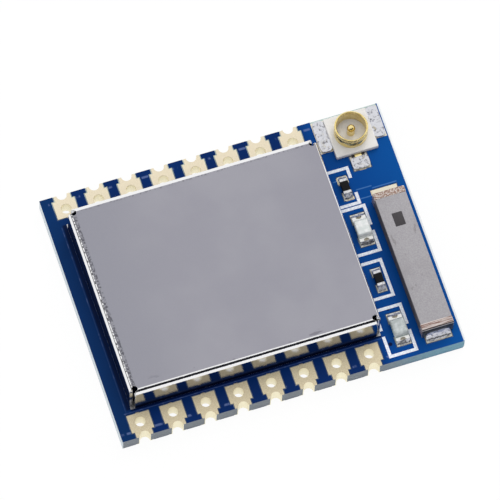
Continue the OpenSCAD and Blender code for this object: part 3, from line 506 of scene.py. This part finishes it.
def flow(bm, x0, x1, y0, y1, foot, height, seed, rough=0.03, cells=28, corner=0.12):
    """Adds a joint of solder over a patch. height(u, v) is its top at shares of the patch."""
    made = bmesh.ops.create_grid(bm, x_segments=cells, y_segments=cells, size=1)
    skin = set(made["verts"])
    rim = {e for v in skin for e in v.link_edges if e.is_boundary}
    skirt = bmesh.ops.extrude_edge_only(bm, edges=list(rim))["geom"]
    low = {g for g in skirt if isinstance(g, bmesh.types.BMVert)}
    for v in skin | low:
        u, w = v.co.x, v.co.y
        x = (x0 + x1) / 2 + (x1 - x0) / 2 * u * (1 - corner * w ** 4)
        y = (y0 + y1) / 2 + (y1 - y0) / 2 * w * (1 - corner * u ** 4)
        if v in low:
            v.co = (x, y, foot)
            continue
        lump = noise.noise(Vector((x * 2.6, y * 2.6, seed)))
        lump += 0.5 * noise.noise(Vector((x * 6, y * 6, seed)))
        edge = min(1, 6 * (1 - abs(u)), 6 * (1 - abs(w)))
        rise = height((u + 1) / 2, (w + 1) / 2) + rough * lump * edge
        v.co = (x, y, foot + max(0.012, rise))
    open_edges = [e for v in low for e in v.link_edges if e.is_boundary]
    bmesh.ops.holes_fill(bm, edges=list(set(open_edges)), sides=0)


joint_low, joint_high = span("antenna_solder")
joints = bmesh.new()
flow(joints, joint_low.x, joint_high.x, ant_high.y, joint_high.y, board_top,
     lambda u, v: 0.05 + 0.3 * (1 - v) ** 2, 1, 0.015)
flow(joints, joint_low.x, joint_high.x, joint_low.y, ant_low.y, board_top,
     lambda u, v: 0.04 + 0.46 * v ** 2.2, 2, 0.02)
set_down(joints, "antenna_joints", solder, "solder", "antenna_solder", crease=60)


# ---- Antenna jack ----
# A square base moulded in cream plastic round a brass ring and its centre pin, both gold plated.
# The ring was rolled from strip, so a seam runs down its front, and a groove round it holds the
# plug. Its two feet and the pin's tab come out under the base and are soldered down.
jack_low, jack_high = span("jack_base")
jack = (jack_low + jack_high) / 2
base_top = jack_high.z
ring_top = span("jack_shell")[1].z
ring_r, ring_wall, moulded_edge = 1, 0.12, 0.05

cream = Finish("jack_plastic", {"Roughness": 0.5, "Specular IOR Level": 0.4})
mottle = cream.grain(1.2, 3)
cream.feed("Base Color", cream.mixed(mottle.rise(0.3, 0.7), paint(214, 212, 209), paint(226, 224, 222)))
cream.relief(cream.grain(10), 0.004)
base = bmesh.new()
block(base, jack_low, jack_high, moulded_edge, 3)
set_down(base, "jack_block", cream, "jack_plastic", "jack_base")

gold = Finish("jack_metal", {"Metallic": 1})
wear_and_highlights = gold.grain(3.5, 3)
gold.feed("Base Color", gold.mixed(wear_and_highlights.rise(0.3, 0.7), paint(230, 206, 132), paint(246, 228, 168)))
gold.feed("Roughness", wear_and_highlights * 0.15 + 0.12)
gold.relief(gold.grain(8, 2, (1, 1, 3)), 0.006)


def turned(bm, profile, start=0, sweep=math.tau):
    """Spins a profile of (radius, height) points round the jack's axis."""
    points = [bm.verts.new((jack.x + r * math.cos(start), jack.y + r * math.sin(start), z))
              for r, z in profile]
    lines = [bm.edges.new(pair) for pair in zip(points, points[1:])]
    if sweep < math.tau:
        lines.append(bm.edges.new((points[-1], points[0])))
    bmesh.ops.spin(bm, geom=points + lines, cent=(jack.x, jack.y, 0), axis=(0, 0, 1),
                   dvec=(0, 0, 0), angle=sweep, steps=96, use_merge=sweep == math.tau)


rim = ring_wall / 2
seam_w, seam_side = 0.04, 0.05
groove_z, groove_half, groove_deep = ring_top - 0.3, 0.06, 0.05
ring = bmesh.new()
turned(ring, [(ring_r - ring_wall, base_top), (ring_r, base_top), (ring_r, groove_z - groove_half),
              (ring_r - groove_deep, groove_z), (ring_r, groove_z + groove_half)]
       + [(ring_r - rim + rim * math.cos(a), ring_top - rim + rim * math.sin(a))
          for a in (math.pi * k / 10 for k in range(11))],
       -square + seam_side + seam_w / 2, math.tau - seam_w)
open_ends = [e for e in ring.edges if e.is_boundary]
bmesh.ops.holes_fill(ring, edges=open_ends, sides=0)
shell_low, shell_high = span("jack_shell")
foot_in, foot_front, foot_back, foot_t = 1.2, 0.6, 0.85, 0.1
for x0, x1 in ((shell_low.x, jack.x - foot_in), (jack.x + foot_in, shell_high.x)):
    block(ring, (x0, jack.y - foot_front, board_top), (x1, jack.y + foot_back, board_top + foot_t))
set_down(ring, "jack_ring", gold, "jack_metal", "jack_shell")

pin_low, pin_high = span("jack_pin")
pin = bmesh.new()
pin_r, tab_half, tip = 0.24, 0.22, pin_high.z
turned(pin, [(0, base_top - 0.01), (pin_r, base_top), (pin_r, tip - 0.21), (0.235, tip - 0.17),
             (0.2, tip - 0.1), (0.155, tip - 0.05), (0.1, tip - 0.015), (0, tip)])
block(pin, (jack.x - tab_half, pin_low.y, board_top),
      (jack.x + tab_half, jack_low.y + 0.1, board_top + foot_t), 0.03)
set_down(pin, "jack_contact", gold, "jack_metal", "jack_pin")

# Painted shadow: two dark blocks either side of the pin's tab stand for the shade in the gaps under the
# base's front.
lip_shadow = plain("jack_lip_plastic", 0.5, 0, (30, 24, 20), (44, 36, 30), 8)
lip_low, lip_high = span("jack_lip")
lip = bmesh.new()
slot_half = 0.225
for x0, x1 in ((lip_low.x, jack.x - slot_half), (jack.x + slot_half, lip_high.x)):
    block(lip, (x0, lip_low.y, lip_low.z), (x1, lip_high.y, lip_high.z))
set_down(lip, "jack_lips", lip_shadow, "jack_lip_plastic", "jack_lip")

melt_low, melt_high = span("jack_solder")
melt = bmesh.new()
under, ground_front, ground_back, signal_half = 0.02, jack.y - 0.66, 7.86, 0.54
for x0, x1, seed in ((melt_low.x, jack_low.x + under, 5), (jack_high.x - under, melt_high.x, 9)):
    flow(melt, x0, x1, ground_front, ground_back, board_top, lambda u, v: 0.17, seed, 0.05)
flow(melt, jack.x - signal_half, jack.x + signal_half, melt_low.y, jack_low.y - 0.2, board_top,
     lambda u, v: 0.1 + 0.05 * v, 14, 0.05)
set_down(melt, "jack_joints", solder, "solder", "jack_solder", crease=60)


# ---- Resistors ----
# A chip of ceramic under a black glass coat, with a tinned cap dipped over each end and a fillet
# of solder from each cap down to its pad.
coat = Finish("resistor_coat", {"Roughness": 0.35, "Specular IOR Level": 0.15})
coat.feed("Base Color", coat.mixed(coat.grain(7), paint(6, 6, 9), paint(13, 13, 17)))
coat.relief(coat.grain(12), 0.006)
tinned = Finish("cap_metal", {"Metallic": 1})
dull = tinned.grain(6, 3)
# Painted shade: the caps are painted darker in the low pits of their surface.
out_of_pits = dull.rise(0.35, 0.65)
tinned.feed("Base Color", tinned.mixed(out_of_pits, paint(186, 186, 190), paint(232, 232, 234)))
tinned.feed("Roughness", dull * 0.3 + 0.1)
tinned.relief(dull, 0.03)


def fillet(bm, low, high, reach, height, power, seeds, rough, cells):
    """Adds a fillet of solder beyond the back and the front end of a small part."""
    flow(bm, low.x, high.x, high.y, high.y + reach, board_top,
         lambda u, v: 0.03 + height * (1 - v) ** power, seeds[0], rough, cells)
    flow(bm, low.x, high.x, low.y - reach, low.y, board_top,
         lambda u, v: 0.03 + height * v ** power, seeds[1], rough, cells)


fillets = bmesh.new()
cap_l, cap_t, cap_end = 0.21, 0.01, 0.05
for place in ("back", "front"):
    low, high = span(f"resistor_{place}_caps")
    core = bmesh.new()
    block(core, (low.x + cap_t, low.y + cap_end, low.z + 0.02),
          (high.x - cap_t, high.y - cap_end, high.z - 0.012), 0.03)
    set_down(core, f"resistor_{place}_chip", coat, "resistor_coat", f"resistor_{place}")
    caps = bmesh.new()
    for y0, y1 in ((low.y, low.y + cap_l), (high.y - cap_l, high.y)):
        block(caps, (low.x, y0, low.z), (high.x, y1, high.z), 0.04, 3)
    set_down(caps, f"resistor_{place}_ends", tinned, "cap_metal", f"resistor_{place}_caps")
    fillet(fillets, low, high, 0.24, 0.25, 1.6, (21, 25), 0.02, 16)


# ---- Indicator lamps ----
# A pale green base plate with a half-round notch in each plated end, a small die wired on top of
# it, and a block of milky clear resin cast over the die.
lamp_plate = plain("lamp_plate", 0.5, 0, (150, 186, 174), (176, 206, 196), 5)
contact = plain("lamp_contact", 0.3, 0.9, (222, 222, 220), (240, 240, 238), 6)
die = plain("lamp_die", 0.4, 0, (58, 64, 60), (76, 82, 78), 14)
resin = Finish("lamp_resin", {"Roughness": 0.18, "Specular IOR Level": 0.5, "IOR": 1.5})
milk = resin.grain(4, 3)
back_lamp = resin.y.rise(-4, -1)
cast_light = resin.mixed(back_lamp, paint(206, 212, 213), paint(250, 251, 251))
cast_dark = resin.mixed(back_lamp, paint(186, 194, 194), paint(236, 242, 240))
resin.feed("Base Color", resin.mixed(milk.rise(0.35, 0.7), cast_dark, cast_light))
resin.feed("Alpha", milk * 0.25 + 0.7)
resin.relief(milk, 0.02)
taper = 0.1
for place in ("back", "front"):
    dress(lamp_plate, f"lamp_{place}_base")
    dress(contact, f"lamp_{place}_contacts")
    dress(die, f"lamp_{place}_die")
    low, high = span(f"lamp_{place}_resin")
    cast = bmesh.new()
    block(cast, low, high, 0.001, 1)
    for v in cast.verts:
        if v.co.z > (low.z + high.z) / 2:
            v.co.y += taper if v.co.y < (low.y + high.y) / 2 else -taper
    bmesh.ops.bevel(cast, geom=[e for e in cast.edges if e.calc_length() > 0.1], offset=0.04,
                    segments=3, affect="EDGES", profile=0.5, material=-1)
    set_down(cast, f"lamp_{place}_block", resin, "lamp_resin", f"lamp_{place}_resin")
    low, high = span(f"lamp_{place}_contacts")
    fillet(fillets, low, high, 0.23, 0.17, 1.5, (31, 37), 0.03, 20)
set_down(fillets, "small_part_joints", solder, "solder", "lamp_solder", crease=60)


# ---- Floor and surroundings ----
# A plain white floor in an even white room, with four soft lamps that no metal mirrors. A dark
# card on the front side, which only metal sees, draws the dark line along the shield's bends.
def direct_sight(finish):
    """1 for a ray straight from the camera, or off or through a shiny surface, and 0 for others."""
    path = finish.node("ShaderNodeLightPath", {}, {}).socket.node
    camera_ray, glossy_ray, clear_ray = (
        Tone(finish, path.outputs[f"Is {kind} Ray"]) for kind in ("Camera", "Glossy", "Transmission"))
    return camera_ray.most(glossy_ray).most(clear_ray)


def set_aside(bm, name, finish):
    """Turns a shape in metres into a piece of the surroundings."""
    mesh = bpy.data.meshes.new(name)
    bm.to_mesh(mesh)
    bm.free()
    mesh.materials.append(finish.material)
    held = bpy.data.objects.new(name, mesh)
    bpy.context.scene.collection.objects.link(held)
    return held


floor = Finish("floor")
glow = floor.node("ShaderNodeEmission", {}, {"Color": (1, 1, 1, 1), "Strength": 1})
matt = floor.node("ShaderNodeBsdfDiffuse", {}, {"Color": (0.95, 0.95, 0.95, 1)})
lit = floor.node("ShaderNodeMixShader", {}, {0: direct_sight(floor) * 0.94, 1: matt, 2: glow})
floor.node("ShaderNodeOutputMaterial", {}, {"Surface": lit})
ground = bmesh.new()
just_below = Matrix.Translation((0, 0, -0.00001))
bmesh.ops.create_grid(ground, x_segments=1, y_segments=1, size=3, matrix=just_below)
set_aside(ground, "floor", floor)

card_finish = Finish("dark_card")
black = card_finish.node("ShaderNodeEmission", {}, {"Color": (0.02, 0.02, 0.025, 1), "Strength": 1})
card_finish.node("ShaderNodeOutputMaterial", {}, {"Surface": black})
card_away = 0.3
card_low, card_high, card_turn = math.radians(24), math.radians(70), math.radians(75)
card = bmesh.new()
rail = [card.verts.new((0, -card_away * math.cos(a), card_away * math.sin(a)))
        for a in (card_low + (card_high - card_low) * k / 12 for k in range(13))]
lines = [card.edges.new(pair) for pair in zip(rail, rail[1:])]
bmesh.ops.rotate(card, verts=rail, cent=(0, 0, 0), matrix=Matrix.Rotation(-card_turn, 3, "Z"))
bmesh.ops.spin(card, geom=rail + lines, cent=(0, 0, 0), axis=(0, 0, 1), dvec=(0, 0, 0),
               angle=2 * card_turn, steps=24, use_merge=False)
dark_card = set_aside(card, "dark_card", card_finish)
dark_card.visible_camera = False
dark_card.visible_diffuse = False
dark_card.visible_shadow = False
dark_card.visible_transmission = False

world = bpy.data.worlds.new("room")
bpy.context.scene.world = world
world.use_nodes = True
room = Finish("room", tree=world.node_tree)
plain_level = 0.62
bright = direct_sight(room) * (1 - plain_level) + plain_level
air = room.node("ShaderNodeBackground", {}, {"Color": (1, 1, 1, 1), "Strength": bright})
room.node("ShaderNodeOutputWorld", {}, {"Surface": air})

lamps = (("key", (0.3, 0.34, 0.4), 1.3, 0.3), ("fill", (-0.4, -0.2, 0.4), 0.25, 0.4),
         ("top", (0, 0, 0.5), 0.7, 0.4), ("side", (-0.5, -0.02, 0.1), 0.7, 0.3))
for name, spot, watts, width in lamps:
    lamp = bpy.data.lights.new(name, "AREA")
    lamp.energy = watts
    lamp.size = width
    held = bpy.data.objects.new(name, lamp)
    bpy.context.scene.collection.objects.link(held)
    facing = Vector(spot).to_track_quat("Z", "Y").to_matrix().to_4x4()
    held.matrix_world = Matrix.Translation(spot) @ facing
    held.visible_glossy = False
scene = bpy.context.scene
scene.view_settings.view_transform = "Standard"


# ---- Camera ----
# It stands high over the front edge, a little to the left, with a long lens.
turn, rise, roll = math.radians(-20.93), math.radians(66.41), math.radians(2.95)
distance, aim_x, aim_y = 412.16, -0.1078, 1.1984
back = Vector((math.sin(turn) * math.cos(rise), -math.cos(turn) * math.cos(rise), math.sin(rise)))
right = Vector((math.cos(turn), math.sin(turn), 0))
up = back.cross(right)
right, up = math.cos(roll) * right + math.sin(roll) * up, math.cos(roll) * up - math.sin(roll) * right
lens = bpy.data.cameras.new("camera")
lens.lens = 507.58
lens.sensor_width = 36
lens.clip_start = 0.01
lens.clip_end = 10
camera = bpy.data.objects.new("camera", lens)
scene.collection.objects.link(camera)
stand = (Vector((0, 0, board_top)) + back * distance + right * aim_x + up * aim_y) * 0.001
camera.matrix_world = Matrix.Translation(stand) @ Matrix((right, up, back)).transposed().to_4x4()
scene.camera = camera
